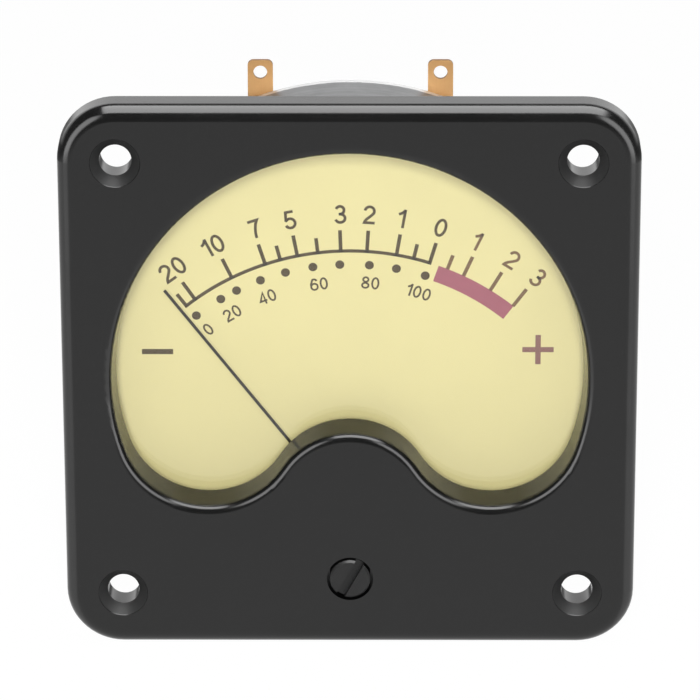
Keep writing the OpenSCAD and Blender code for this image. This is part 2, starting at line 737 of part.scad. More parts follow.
// Moulded frame: a tube behind the ring, a base on the can's back with two
// feet, and two posts that carry the dial
module movement_frame() color([0.12, 0.12, 0.13])
    difference() {
        union() {
            rod(0, pivot_z, frame_r, core_back, can_in_y);
            slab(base_y, can_in_y) intersection() {
                circle(can_in_r - free_gap);
                union() {
                    for (side = [-1, 1]) {
                        translate([side * foot_x, foot_z]) circle(foot_r);
                        translate([side * dial_screw_x, dial_screw_z]) circle(dial_post_r + 0.5);
                        polygon([[side * foot_x + side * foot_r, foot_z],
                            [side * (dial_screw_x + dial_post_r + 0.5), dial_screw_z],
                            [0, dial_screw_z], [0, foot_z]]);
                    }
                    translate([-foot_x, foot_z - foot_r]) square([2 * foot_x, 2 * foot_r]);
                }
            }
            for (side = [-1, 1])
                rod(side * dial_screw_x, dial_screw_z, dial_post_r, dial_y + dial_t, can_in_y);
        }
        rod(0, pivot_z, ring_in_r, core_back - past, can_in_y + past);
        for (side = [-1, 1]) {
            rod(side * dial_screw_x, dial_screw_z, dial_screw_r + seat_gap,
                dial_y, dial_y + dial_t + dial_screw_len + hole_past);
            rod(side * foot_x, foot_z, foot_screw_r + seat_gap, base_y - past, can_in_y + past);
            rod(side * ring_mid_r, pivot_z, bridge_screw_r + seat_gap, core_back - past,
                core_back + bridge_grip + hole_past);
            rod(0, pivot_z + side * ring_mid_r, bridge_screw_r + seat_gap,
                rear_bridge_y - rear_grip - hole_past, can_in_y);
            rod(side * case_screw_x, case_screw_z, case_boss_r + free_gap, base_y - past, can_in_y + past);
        }
        translate([-1.6, rear_bridge_y - seat_gap, pivot_z - ring_mid_r - 1.3])
            cube([3.2, can_in_y, 2 * ring_mid_r + 2.6]);
    }

module frame_screws() color([0.75, 0.75, 0.78])
    for (side = [-1, 1])
        screw(side * foot_x, foot_z, back_head_r, back_head_t, foot_screw_r,
            can_depth, base_y, 15 * side);

// ---------- can and terminals ----------

module rear_can() color([0.62, 0.62, 0.63])
    difference() {
        union() {
            rod(0, 0, can_r, -rim_groove, can_depth - rim_r);
            rod(0, 0, can_r - rim_r, can_depth - rim_r, can_depth);
            translate([0, can_depth - rim_r, 0]) rotate([90, 0, 0])
                rotate_extrude() translate([can_r - rim_r, 0]) circle(rim_r);
        }
        rod(0, 0, can_in_r, -past, can_in_y - corner_step);
        rod(0, 0, can_in_r - corner_step, -past, can_in_y);
        for (side = [-1, 1]) {
            rod(side * foot_x, foot_z, foot_screw_r + 0.1, can_in_y - past, can_depth + past);
            rod(side * case_screw_x, case_screw_z, case_screw_r + 0.1, can_in_y - past, can_depth + past);
            rod(side * lug_pitch / 2, terminal_z, stud_r + collar_t + run_gap, can_in_y - past, can_depth + past);
        }
    }

module case_screws() color([0.75, 0.75, 0.78])
    for (side = [-1, 1])
        screw(side * case_screw_x, case_screw_z, back_head_r, back_head_t, case_screw_r - 0.15,
            can_depth, case_boss_h - case_grip, -35 * side);

// Insulating washers outside the can, each with a collar in the can's hole
module terminal_washers() color([0.42, 0.25, 0.16])
    for (side = [-1, 1]) difference() {
        union() {
            rod(side * lug_pitch / 2, terminal_z, washer_r, can_depth, lug_y);
            rod(side * lug_pitch / 2, terminal_z, stud_r + collar_t, can_in_y + run_gap, can_depth + run_gap);
        }
        rod(side * lug_pitch / 2, terminal_z, stud_r + seat_gap, can_in_y - past, lug_y + past);
    }

module inner_washers() color([0.42, 0.25, 0.16])
    for (side = [-1, 1]) difference() {
        rod(side * lug_pitch / 2, terminal_z, washer_r, board_y + board_t, can_in_y);
        rod(side * lug_pitch / 2, terminal_z, stud_r + seat_gap, board_y, can_in_y + past);
    }

module terminal_studs() color([0.85, 0.68, 0.38])
    for (side = [-1, 1])
        screw(side * lug_pitch / 2, terminal_z, stud_head_r, stud_head_t, stud_r,
            board_y, stud_end, 50 * side);

module terminal_nuts() color([0.85, 0.68, 0.38])
    for (side = [-1, 1])
        nut(side * lug_pitch / 2, terminal_z, terminal_nut_w, stud_r + seat_gap,
            lug_y + lug_t, lug_y + lug_t + terminal_nut_t);

// Solder lug: an eye on the stud and a strip with a holed tip past the rim
module lug(side) color([0.83, 0.64, 0.4])
    slab(lug_y, lug_y + lug_t) translate([side * lug_pitch / 2, 0]) difference() {
        union() {
            translate([0, terminal_z]) circle(lug_eye_r);
            translate([-lug_w / 2, terminal_z]) square([lug_w, lug_top - lug_tip_r - terminal_z]);
            translate([-lug_w / 2 + lug_tip_r, terminal_z])
                square([lug_w - 2 * lug_tip_r, lug_top - terminal_z]);
            for (edge = [-1, 1])
                translate([edge * (lug_w / 2 - lug_tip_r), lug_top - lug_tip_r]) circle(lug_tip_r);
        }
        translate([0, terminal_z]) circle(stud_r + seat_gap);
        translate([0, lug_top - lug_w / 2]) circle(lug_hole_d / 2);
    }

module left_lug() lug(-1);

module right_lug() lug(1);

// ---------- rectifier board and leads ----------

diode_z = [-3.6, -1.2];
diode_x = 3;
diode_r = 0.85;
diode_len = 3.4;
diode_reach = 2.4;
diode_wire_r = 0.25;
resistor_z = 1.6;
resistor_reach = 4.8;
resistor_wire_r = 0.3;
part_y = board_y - 1.4;
board_drop = 1; // from the studs' line down to the board's middle
lead_x = 9;
lead_drop = 4.6;
lead_r = 0.4;
wire_past = 0.3; // how far a wire's end stands out behind the board

module rectifier_board() color([0.55, 0.42, 0.22])
    slab(board_y, board_y + board_t) translate([0, terminal_z - board_drop]) difference() {
        square([board_w, board_h], center = true);
        for (side = [-1, 1]) {
            translate([side * lug_pitch / 2, board_drop]) circle(stud_r + seat_gap);
            for (z = diode_z, end = [-1, 1])
                translate([side * diode_x + end * (diode_reach - diode_wire_r), z])
                    circle(diode_wire_r + seat_gap);
            translate([side * (resistor_reach - resistor_wire_r), resistor_z + board_drop])
                circle(resistor_wire_r + seat_gap);
            translate([side * lead_x, board_drop - lead_drop]) circle(lead_r + seat_gap);
        }
    }

// A leaded component: body along X, wires out of its ends and down into the
// board
module leaded(x, z, body_r, body_len, wire_r, reach) {
    translate([x, part_y, z]) rotate([0, 90, 0]) {
        cylinder(r = body_r, h = body_len, center = true);
        cylinder(r = 0.85 * wire_r, h = 2 * (reach - wire_r), center = true);
    }
    for (end = [-1, 1])
        rod(x + end * (reach - wire_r), z, wire_r, part_y - wire_r, board_y + board_t + wire_past);
}

module rectifier_diodes() color([0.15, 0.15, 0.17])
    for (side = [-1, 1], z = diode_z)
        leaded(side * diode_x, terminal_z - board_drop + z, diode_r, diode_len, diode_wire_r, diode_reach);

module series_resistor() color([0.75, 0.62, 0.42])
    leaded(0, terminal_z + resistor_z, 1.15, 6.4, resistor_wire_r, resistor_reach);

// Lead from the board to the front bridge's left post
module front_lead() color([0.7, 0.12, 0.1])
    wire([[-lead_x, board_y + board_t + wire_past, terminal_z - lead_drop],
        [-lead_x, board_y - 1.5, terminal_z - lead_drop],
        [-lead_x, core_y + 2.2, pivot_z + 26.5],
        [-ring_r - 1.2, core_y + 2.2, pivot_z + 4],
        [-ring_r - 1.2, core_y + 2.2, pivot_z + 1.4]], lead_r);

// Lead from the board to the rear bridge's upper end
module rear_lead() color([0.1, 0.1, 0.11])
    wire([[lead_x, board_y + board_t + wire_past, terminal_z - lead_drop],
        [lead_x, board_y - 1.5, terminal_z - lead_drop],
        [lead_x, core_y + 3.2, pivot_z + 26.5],
        [4, base_y - 1, pivot_z + ring_r + 3],
        [0, rear_bridge_y - 0.6, pivot_z + frame_r + 0.6]], lead_r);

front_bezel();
window_lens();
zero_adjuster();
adjuster_clip();
zero_lever();
dial_plate();
dial_screws();
pointer();
balance_cross();
balance_weights();
coil_former();
coil_winding();
front_staff();
rear_staff();
front_hairspring();
rear_hairspring();
front_jewel_screw();
rear_jewel_screw();
jewel_locknuts();
front_bridge();
rear_bridge();
front_bridge_screws();
rear_bridge_screws();
pointer_stops();
core_magnet();
core_spacers();
yoke_ring();
movement_frame();
frame_screws();
rear_can();
case_screws();
terminal_washers();
inner_washers();
terminal_studs();
terminal_nuts();
left_lug();
right_lug();
rectifier_board();
rectifier_diodes();
series_resistor();
front_lead();
rear_lead();
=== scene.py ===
"""The looks of a panel meter with a moving pointer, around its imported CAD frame."""

import json
import math

import bmesh
import bpy
from mathutils import Matrix, Vector


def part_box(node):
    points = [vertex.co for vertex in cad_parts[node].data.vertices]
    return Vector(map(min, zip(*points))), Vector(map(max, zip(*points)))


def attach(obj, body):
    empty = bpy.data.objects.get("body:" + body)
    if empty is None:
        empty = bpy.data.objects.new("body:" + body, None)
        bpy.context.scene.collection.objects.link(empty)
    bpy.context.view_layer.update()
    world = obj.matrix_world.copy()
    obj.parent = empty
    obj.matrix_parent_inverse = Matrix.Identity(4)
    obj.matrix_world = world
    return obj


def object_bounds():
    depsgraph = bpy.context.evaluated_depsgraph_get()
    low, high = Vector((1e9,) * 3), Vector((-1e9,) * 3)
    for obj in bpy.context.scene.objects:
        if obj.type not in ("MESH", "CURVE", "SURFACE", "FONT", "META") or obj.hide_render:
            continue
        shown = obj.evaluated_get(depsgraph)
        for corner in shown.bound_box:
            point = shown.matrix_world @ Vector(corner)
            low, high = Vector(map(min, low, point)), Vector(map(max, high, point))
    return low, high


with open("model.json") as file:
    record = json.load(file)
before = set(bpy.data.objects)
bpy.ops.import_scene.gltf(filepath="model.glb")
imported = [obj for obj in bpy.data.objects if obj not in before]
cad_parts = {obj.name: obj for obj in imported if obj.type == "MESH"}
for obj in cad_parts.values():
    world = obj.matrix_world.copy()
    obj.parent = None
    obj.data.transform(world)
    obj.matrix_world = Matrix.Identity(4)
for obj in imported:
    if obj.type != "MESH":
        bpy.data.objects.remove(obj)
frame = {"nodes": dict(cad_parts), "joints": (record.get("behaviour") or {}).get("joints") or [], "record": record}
cad_low, cad_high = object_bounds()
MM = 0.001
scene = bpy.context.scene


# ---------------------------------------------------------------- colours
def srgb(r, g, b):
    """A colour as 0-255 screen values, turned into the linear value a shader takes."""
    out = []
    for c in (r, g, b):
        c = c / 255
        out.append(c / 12.92 if c <= 0.04045 else ((c + 0.055) / 1.055) ** 2.4)
    return (*out, 1.0)


def grey(v):
    return (v, v, v, 1.0)


def scaled(color, k):
    """A colour with its light multiplied by k."""
    return tuple(k * c for c in color[:3]) + (1,)


# ---------------------------------------------------------------- node helpers
class Nodes:
    """A short way to write a node tree."""

    def __init__(self, tree):
        self.tree = tree
        tree.nodes.clear()

    def add(self, kind, inputs=None, **settings):
        n = self.tree.nodes.new(kind)
        for key, value in settings.items():
            setattr(n, key, value)
        for key, value in (inputs or {}).items():
            self.plug(n.inputs[key], value)
        return n

    def plug(self, socket, value):
        """Links a socket, or sets its constant value."""
        if isinstance(value, bpy.types.NodeSocket):
            self.tree.links.new(value, socket)
        else:
            socket.default_value = value

    def math(self, op, a, b=0.0):
        return self.add("ShaderNodeMath", {0: a, 1: b}, operation=op).outputs[0]

    def times(self, a, b):
        return self.math("MULTIPLY", a, b)

    def plus(self, a, b):
        return self.math("ADD", a, b)

    def mm(self, squeeze=(1, 1, 1)):
        """Object coordinates in millimetres, squeezed along an axis for a brushed grain."""
        place = self.add("ShaderNodeTexCoord").outputs["Object"]
        k = tuple(s / MM for s in squeeze)
        return self.add("ShaderNodeVectorMath", {0: place, 1: k}, operation="MULTIPLY").outputs[0]

    def reach(self, a, b):
        """The length of a line that goes a one way and b square to it."""
        return self.math("SQRT", self.plus(self.times(a, a), self.times(b, b)))

    def spun(self):
        """Coordinates in mm that follow the rings a lathe leaves round the Y axis."""
        at = self.xyz(self.mm())
        out = self.reach(at["X"], at["Z"])
        return self.add("ShaderNodeCombineXYZ", {"X": out, "Y": at["Y"]}).outputs[0]

    def noise(self, at, scale, detail=3.0, rough=0.55, distort=0.0):
        settings = {
            "Vector": at, "Scale": scale, "Detail": detail, "Roughness": rough,
            "Distortion": distort,
        }
        return self.add("ShaderNodeTexNoise", settings).outputs["Fac"]

    def spread(self, value, low, high, start=0.3, end=0.7):
        """Takes start..end of value to low..high, and holds it there beyond them. A noise
        mostly lies between the start and end that stand here."""
        ends = {"Value": value, 1: start, 2: end, 3: low, 4: high}
        return self.add("ShaderNodeMapRange", ends).outputs["Result"]

    def between(self, value, low, high):
        """1 between low and high, each a pair of soft limits; 0 outside them."""
        return self.times(self.spread(value, 0, 1, *low), self.spread(value, 1, 0, *high))

    def blend(self, fac, a, b):
        n = self.add("ShaderNodeMix", {"Factor": fac}, data_type="RGBA")
        self.plug(n.inputs[6], a)
        self.plug(n.inputs[7], b)
        return n.outputs[2]

    def bump(self, height, distance, strength=1.0):
        """distance is in millimetres."""
        settings = {"Height": height, "Distance": distance * MM, "Strength": strength}
        return self.add("ShaderNodeBump", settings).outputs["Normal"]

    def xyz(self, at):
        return self.add("ShaderNodeSeparateXYZ", {0: at}).outputs


def material(name, build):
    """A material whose tree build(nodes) makes; build returns the shader socket."""
    m = bpy.data.materials.new(name)
    m.use_nodes = True
    n = Nodes(m.node_tree)
    surface = build(n)
    n.add("ShaderNodeOutputMaterial", {"Surface": surface})
    return m


def principled(n, **inputs):
    names = {
        "color": "Base Color",
        "rough": "Roughness",
        "metal": "Metallic",
        "normal": "Normal",
        "ior": "IOR",
        "coat": "Coat Weight",
        "spec": "Specular IOR Level",
        "through": "Transmission Weight",
    }
    return n.add(
        "ShaderNodeBsdfPrincipled", {names[k]: v for k, v in inputs.items()}
    ).outputs[0]


# ---------------------------------------------------------------- materials
# Noise scales are in cells per mm, and every other length is in mm.
HOLES = next(m for m in frame["record"]["mounts"] if m["name"] == "mounting_holes")
HOLE_AT = HOLES["dims"]["spacing_x_mm"] / 2  # each hole's distance from the middle, both ways
SINK_R, SINK_DEEP = 3.05, 1.3
SINK_SOFT = 0.15, 0.1  # how softly the cut's finish ends, sideways and in depth
SINK_FROM = (0.02, 0.1)  # how deep the cut's finish starts
CUT_GREY, CUT_ROUGH = grey(0.009), 0.34
DUST, DUST_SHARE, DUST_ROUGH = grey(0.10), 0.25, 0.12
PATCH_LIGHT = 1.5  # how much lighter a rubbed patch of a moulding is

CAN_LOW, CAN_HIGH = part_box("rear_can")
CAN_BACK = CAN_HIGH.y / MM
CAN_R = (CAN_HIGH.x - CAN_LOW.x) / 2 / MM
RIM_HIGHLIGHT_W = 1.7  # the painted highlight's width at the can's rear edge
RAGGED = 0.3  # how much its border wanders


def countersinks(n):
    """1 in the dishes that were cut round the mounting holes."""
    at = n.xyz(n.mm())
    across, along = (n.math("SUBTRACT", n.math("ABSOLUTE", at[k]), HOLE_AT) for k in "XZ")
    deep = n.math("SUBTRACT", at["Y"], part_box("front_bezel")[0].y / MM)
    side_soft, deep_soft = SINK_SOFT
    inside = n.spread(n.reach(across, along), 1, 0, SINK_R, SINK_R + side_soft)
    return n.times(inside, n.between(deep, SINK_FROM, (SINK_DEEP, SINK_DEEP + deep_soft)))


def moulded(n, color, rough=(0.14, 0.22), peel=0.0012, cut=None):
    """Glossy compression-moulded plastic: a faint orange peel, rubbed patches and fine dust.
    cut(n) gives 1 where the skin was cut away after moulding, which leaves it greyer and matt."""
    at = n.mm()
    patches = n.noise(at, scale=0.11, detail=4, rough=0.6)
    specks = n.noise(at, scale=9, detail=2, rough=0.5)
    dust = n.spread(specks, 0, 1, 0.66, 0.8)
    tone = n.blend(n.spread(patches, 0, 1), color, scaled(color, PATCH_LIGHT))
    tone = n.blend(n.times(dust, DUST_SHARE), tone, DUST)
    level = n.plus(n.spread(patches, *rough), n.times(dust, DUST_ROUGH))
    slow, quick = n.noise(at, scale=0.7, detail=2, rough=0.5), n.noise(at, scale=5, detail=2)
    waves = n.plus(slow, n.times(quick, 0.3))
    if cut:
        tone = n.blend(cut(n), tone, CUT_GREY)
        level = n.plus(level, n.times(cut(n), CUT_ROUGH))
    return principled(n, color=tone, rough=level, ior=1.46, normal=n.bump(waves, peel))


def metal(n, color, dark, rough=(0.25, 0.4), grain=(1, 1, 1), grain_mm=0.08, bump=0.004,
          stain=0.35, share=1.0, touch=None):
    """Bare or plated metal with a drawn grain, or a spun one where grain is None, and a little
    tarnish. touch(n, tone) adds to its colour."""
    finest = 8  # the grain's last octave is this many times finer than its first
    across = n.mm(grain) if grain else n.spun()
    lines = n.noise(across, scale=1 / grain_mm / finest, detail=4, rough=0.6)
    cloud = n.noise(n.mm(), scale=0.32, detail=5, rough=0.62, distort=0.4)
    stained = n.times(n.spread(cloud, 0, 1, 0.35, 0.75), stain)
    drawn = n.times(n.spread(lines, 0, 1), 0.18)
    tone = n.blend(drawn, n.blend(stained, color, dark), dark)
    if touch:
        tone = touch(n, tone)
    level = n.plus(n.spread(lines, *rough), n.times(n.spread(cloud, 0, 1), 0.08))
    return principled(n, color=tone, rough=level, metal=share, normal=n.bump(lines, bump))


def rim_highlight_edge(n, tone):
    """A painted highlight: the can's rear rim made bright grey in its colour, standing in for the light that the
    rounded rim catches.
    """
    out, along, _ = n.xyz(n.spun())
    ragged = n.times(n.noise(n.mm(), scale=1.2), RAGGED)
    near = [
        n.spread(n.plus(place, ragged), 0, 1, edge - RIM_HIGHLIGHT_W, edge - RIM_HIGHLIGHT_W + RAGGED)
        for place, edge in ((along, CAN_BACK), (out, CAN_R))
    ]
    return n.blend(n.times(*near), tone, grey(0.62))


def sheared_edge(n, tone):
    """A stamped sheet's cut edges, dull and dark beside its faces."""
    facing = n.xyz(n.add("ShaderNodeTexCoord").outputs["Normal"])["Y"]
    edge = n.spread(n.math("ABSOLUTE", facing), 1, 0, 0.3, 0.9)
    return n.blend(edge, tone, (0.24, 0.12, 0.045, 1))


def painted(n, color, rough=(0.38, 0.5), grain=0.003, scale=2.2, tint=0.08, spec=0.5):
    """Sprayed enamel or a matt skin: a fine dry grain and a slight cloud in the colour."""
    at = n.mm()
    cloud = n.noise(at, scale=0.07, detail=4, rough=0.6)
    fine = n.noise(at, scale=3 * scale, rough=0.6)
    shade = scaled(color, 1 - 2 * tint)
    tone = n.blend(n.spread(cloud, 0, 1), color, shade)
    tone = n.blend(n.times(n.spread(fine, 0, 1), tint), tone, shade)
    return principled(
        n, color=tone, rough=n.spread(fine, *rough), spec=spec, normal=n.bump(fine, grain)
    )


def clear_lens(n):
    """Polished clear acrylic that lets the lamps through to the dial."""
    haze = n.noise(n.mm(), scale=0.18, detail=4, rough=0.6)
    glass = principled(
        n,
        color=(0.985, 0.99, 0.985, 1),
        rough=n.spread(haze, 0.0, 0.02, 0.55, 0.8),
        ior=1.49,
        through=1.0,
    )
    open_way = n.add("ShaderNodeBsdfTransparent", {"Color": grey(0.97)}).outputs[0]
    path = n.add("ShaderNodeLightPath").outputs
    lamps = n.math("MAXIMUM", path["Is Shadow Ray"], path["Is Diffuse Ray"])
    return n.add("ShaderNodeMixShader", {0: lamps, 1: glass, 2: open_way}).outputs[0]


def ink(n, color):
    """Screen ink: a little broken where it lies thin on the enamel."""
    cover = n.noise(n.mm(), scale=6, rough=0.6)
    pale = tuple(min(1, c * 1.7 + 0.02) for c in color[:3]) + (1,)
    tone = n.blend(n.spread(cover, 0, 0.45), color, pale)
    return principled(
        n, color=tone, rough=n.spread(cover, 0.4, 0.55), spec=0.15, normal=n.bump(cover, 0.002)
    )


def winding(n):
    """Enamelled copper laid turn by turn: fine round wires across the coil's width."""
    wire = 0.09
    at = n.xyz(n.mm())
    turns = n.math("SINE", n.times(at["X"], 2 * math.pi / wire))
    patina = n.noise(n.mm(), scale=1.5)
    return principled(
        n,
        color=n.blend(n.spread(patina, 0, 1), srgb(176, 84, 46), srgb(128, 52, 30)),
        rough=n.spread(patina, 0.25, 0.38),
        metal=0.7,
        coat=0.6,
        normal=n.bump(turns, 0.02, 0.7),
    )


def laminate(n):
    """Paper laminate: layered brown board with pressed fibres."""
    fibres = n.noise(n.mm((0.15, 1, 1)), scale=6, detail=4, rough=0.65)
    return principled(
        n,
        color=n.blend(n.spread(fibres, 0, 1), srgb(150, 92, 44), srgb(112, 62, 28)),
        rough=n.spread(fibres, 0.35, 0.5),
        coat=0.3,
        normal=n.bump(fibres, 0.01),
    )


def banded(n, body, bands, rough=0.35):
    """A small wired part's body with coloured rings, each (from, to, colour) along X."""
    at = n.xyz(n.mm())["X"]
    fine = n.noise(n.mm(), scale=5)
    tone = n.blend(n.times(n.spread(fine, 0, 1), 0.2), body, grey(0.02))
    for low, high, color in bands:
        inside = n.times(n.math("GREATER_THAN", at, low), n.math("LESS_THAN", at, high))
        tone = n.blend(inside, tone, color)
    return principled(
        n, color=tone, rough=n.spread(fine, rough, rough + 0.12), normal=n.bump(fine, 0.004)
    )


NEAR_BLACK = grey(0.004)
POINTER_BLACK = (0.012, 0.009, 0.004, 1)
CAN_GREY = (0.19, 0.192, 0.195, 1)
WARM_BRASS, WARM_BRASS_DARK = (0.68, 0.39, 0.165, 1), (0.56, 0.305, 0.115, 1)
BRASS, BRASS_DARK = (0.83, 0.63, 0.30, 1), (0.55, 0.37, 0.15, 1)
BRONZE, BRONZE_DARK = (0.86, 0.60, 0.34, 1), (0.6, 0.36, 0.18, 1)
BRIGHT = (0.80, 0.81, 0.82, 1)
STEEL = (0.66, 0.67, 0.69, 1)
IRON = (0.46, 0.46, 0.47, 1)
MAGNET = (0.52, 0.51, 0.49, 1)
ALLOY = (0.78, 0.79, 0.80, 1)
ORANGE_RING, RED_RING, GOLD_RING = srgb(196, 98, 34), srgb(150, 34, 30), srgb(178, 140, 60)
RESISTOR_RINGS = [
    (-2.5, -1.9, ORANGE_RING), (-1.1, -0.5, ORANGE_RING), (0.3, 0.9, RED_RING), (2.0, 2.5, GOLD_RING),
]

RECIPES = {
    "black_moulding": lambda n: moulded(n, NEAR_BLACK, cut=countersinks),
    "adjuster_moulding": lambda n: moulded(n, grey(0.006), rough=(0.34, 0.46), peel=0.002),
    "clear_acrylic": clear_lens,
    "dial_cream": lambda n: painted(n, srgb(237, 226, 163), tint=0.02, spec=0.25),
    "pointer_paint": lambda n: painted(
        n, POINTER_BLACK, rough=(0.45, 0.6), grain=0.004, scale=4, spec=0.1
    ),
    "can_skin": lambda n: metal(
        n, CAN_GREY, grey(0.12), rough=(0.28, 0.40), grain=None, grain_mm=0.1, bump=0.003,
        # the can's rear rim gets a painted highlight in its colour
        touch=rim_highlight_edge,
    ),
    "lug_brass": lambda n: metal(
        n, WARM_BRASS, WARM_BRASS_DARK, rough=(0.42, 0.54), grain=(1, 1, 0.06), grain_mm=0.05,
        stain=0.4, share=0.4, touch=sheared_edge,
    ),
    "stud_brass": lambda n: metal(n, BRASS, BRASS_DARK, rough=(0.22, 0.34)),
    "spring_bronze": lambda n: metal(n, BRONZE, BRONZE_DARK, rough=(0.2, 0.3)),
    "bright_plate": lambda n: metal(n, BRIGHT, grey(0.5), rough=(0.16, 0.28), grain=(1, 0.08, 1)),
    "polished_steel": lambda n: metal(n, STEEL, grey(0.4), rough=(0.1, 0.2)),
    "yoke_iron": lambda n: metal(n, IRON, grey(0.25), rough=(0.34, 0.5)),
    "magnet_skin": lambda n: metal(n, MAGNET, grey(0.3), rough=(0.22, 0.34)),
    "alloy_sheet": lambda n: metal(n, ALLOY, grey(0.55), rough=(0.24, 0.36), grain=(0.08, 1, 1)),
    "frame_moulding": lambda n: painted(
        n, grey(0.03), rough=(0.5, 0.65), grain=0.006, tint=0.12
    ),
    "coil_wire": winding,
    "board_laminate": laminate,
    "fibre_washer": lambda n: painted(
        n, srgb(124, 84, 58), rough=(0.45, 0.6), grain=0.01, scale=3, tint=0.16
    ),
    "diode_case": lambda n: banded(n, grey(0.012), [(2.2, 2.7, grey(0.7))]),
    "resistor_case": lambda n: banded(n, srgb(196, 164, 118), RESISTOR_RINGS),
    "sleeve_red": lambda n: painted(
        n, srgb(160, 36, 30), rough=(0.35, 0.5), grain=0.006, scale=3
    ),
    "sleeve_black": lambda n: painted(n, grey(0.02), rough=(0.4, 0.55), grain=0.006, scale=3),
    "ink_dark": lambda n: ink(n, srgb(66, 52, 22)),
    "ink_brown": lambda n: ink(n, srgb(110, 82, 52)),
    "ink_rose": lambda n: ink(n, srgb(130, 90, 82)),
    "ink_red": lambda n: ink(n, srgb(155, 86, 99)),
}
MATERIALS = {name: material(name, build) for name, build in RECIPES.items()}

WEARS = {
    "black_moulding": "front_bezel",
    "adjuster_moulding": "zero_adjuster",
    "clear_acrylic": "window_lens",
    "dial_cream": "dial_plate",
    "pointer_paint": "pointer",
    "can_skin": "rear_can",
    "lug_brass": "left_lug right_lug",
    "stud_brass": (
        "terminal_studs terminal_nuts balance_weights balance_cross front_jewel_screw "
        "rear_jewel_screw zero_lever dial_screws core_spacers"
    ),
    "spring_bronze": "front_hairspring rear_hairspring",
    "bright_plate": (
        "frame_screws case_screws front_bridge_screws rear_bridge_screws jewel_locknuts"
    ),
    "polished_steel": "front_staff rear_staff pointer_stops adjuster_clip",
    "yoke_iron": "yoke_ring",
    "magnet_skin": "core_magnet",
    "alloy_sheet": "front_bridge rear_bridge coil_former",
    "frame_moulding": "movement_frame",
    "coil_wire": "coil_winding",
    "board_laminate": "rectifier_board",
    "fibre_washer": "terminal_washers inner_washers",
    "diode_case": "rectifier_diodes",
    "resistor_case": "series_resistor",
    "sleeve_red": "front_lead",
    "sleeve_black": "rear_lead",
}
for name, nodes in WEARS.items():
    for node in nodes.split():
        o = frame["nodes"][node]
        o.data.materials.clear()
        o.data.materials.append(MATERIALS[name])


# ---------------------------------------------------------------- print on the dial
# Places on the dial are (x, z) in mm, and angles are in degrees from upright, clockwise.
DIAL_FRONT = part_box("dial_plate")[0].y / MM
INK_T = 0.012
WELD = 1e-8  # in metres
SWING_AT = next(j for j in frame["joints"] if j["name"] == "pointer_swing")["pos_m"]
PIVOT = Vector((SWING_AT[0] / MM, SWING_AT[2] / MM))
ARC_CENTRE = Vector((-0.02, -17.9))
ARC_R = 31.59


def swing(angle, reach):
    """The scale arc's point at an angle, moved out along the needle's ray by reach."""
    p = on_ring(angle, ARC_R)
    return p + (p - PIVOT).normalized() * reach


def on_ring(angle, r):
    a = math.radians(angle)
    return ARC_CENTRE + r * Vector((math.sin(a), math.cos(a)))


def slab_of(bm, outline):
    """A thin slab of ink from a closed outline of points seen from the front, anticlockwise."""
    front, back = (
        [bm.verts.new((p.x * MM, y * MM, p.y * MM)) for p in outline]
        for y in (DIAL_FRONT - INK_T, DIAL_FRONT + INK_T)
    )
    bm.faces.new(front)
    bm.faces.new(back[::-1])
    n = len(outline)
    for i in range(n):
        j = (i + 1) % n
        bm.faces.new((front[j], front[i], back[i], back[j]))


SHARPEST = 0.45  # a bend sharper than this cosine isn't mitred any further


def stroke(bm, points, width, closed=False):
    """A pen stroke of one width along a line, mitred at its bends."""
    n = len(points)
    left, right = [], []
    for i, p in enumerate(points):
        before = points[i - 1] if i or closed else None
        after = points[(i + 1) % n] if i < n - 1 or closed else None
        into = (p - before).normalized() if before is not None else None
        away = (after - p).normalized() if after is not None else None
        along = ((into or Vector((0, 0))) + (away or Vector((0, 0)))).normalized()
        side = Vector((-along.y, along.x))
        edge = into or away
        reach = width / 2 / max(SHARPEST, side.dot(Vector((-edge.y, edge.x))))
        left.append(p + side * reach)
        right.append(p - side * reach)
    last = n if closed else n - 1
    for i in range(last):
        j = (i + 1) % n
        slab_of(bm, [right[i], right[j], left[j], left[i]])


def printed(name, draw, ink_name):
    """A piece of ink on the dial, which rides with the case."""
    bm = bmesh.new()
    draw(bm)
    bmesh.ops.remove_doubles(bm, verts=bm.verts, dist=WELD)
    # The walls where one slab of a stroke joins the next
    buried = [f for f in bm.faces if all(len(e.link_faces) > 2 for e in f.edges)]
    bmesh.ops.delete(bm, geom=buried, context="FACES_ONLY")
    bmesh.ops.recalc_face_normals(bm, faces=bm.faces)
    mesh = bpy.data.meshes.new(name)
    bm.to_mesh(mesh)
    bm.free()
    o = bpy.data.objects.new(name, mesh)
    scene.collection.objects.link(o)
    mesh.materials.append(MATERIALS[ink_name])
    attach(o, "case")


def bow(cx, cy, rx, ry, a0, a1, steps=14):
    """Points on an ellipse from angle a0 to a1, in degrees anticlockwise from the right."""
    angles = (math.radians(a0 + (a1 - a0) * i / steps) for i in range(steps + 1))
    return [Vector((cx + rx * math.cos(a), cy + ry * math.sin(a))) for a in angles]


def line(*xy):
    return [Vector(p) for p in xy]


PEN = 0.145  # a figure's stroke, as a share of its height
H = PEN / 2
TOP = 1 - H
FIGURE_SPACE = 0.13
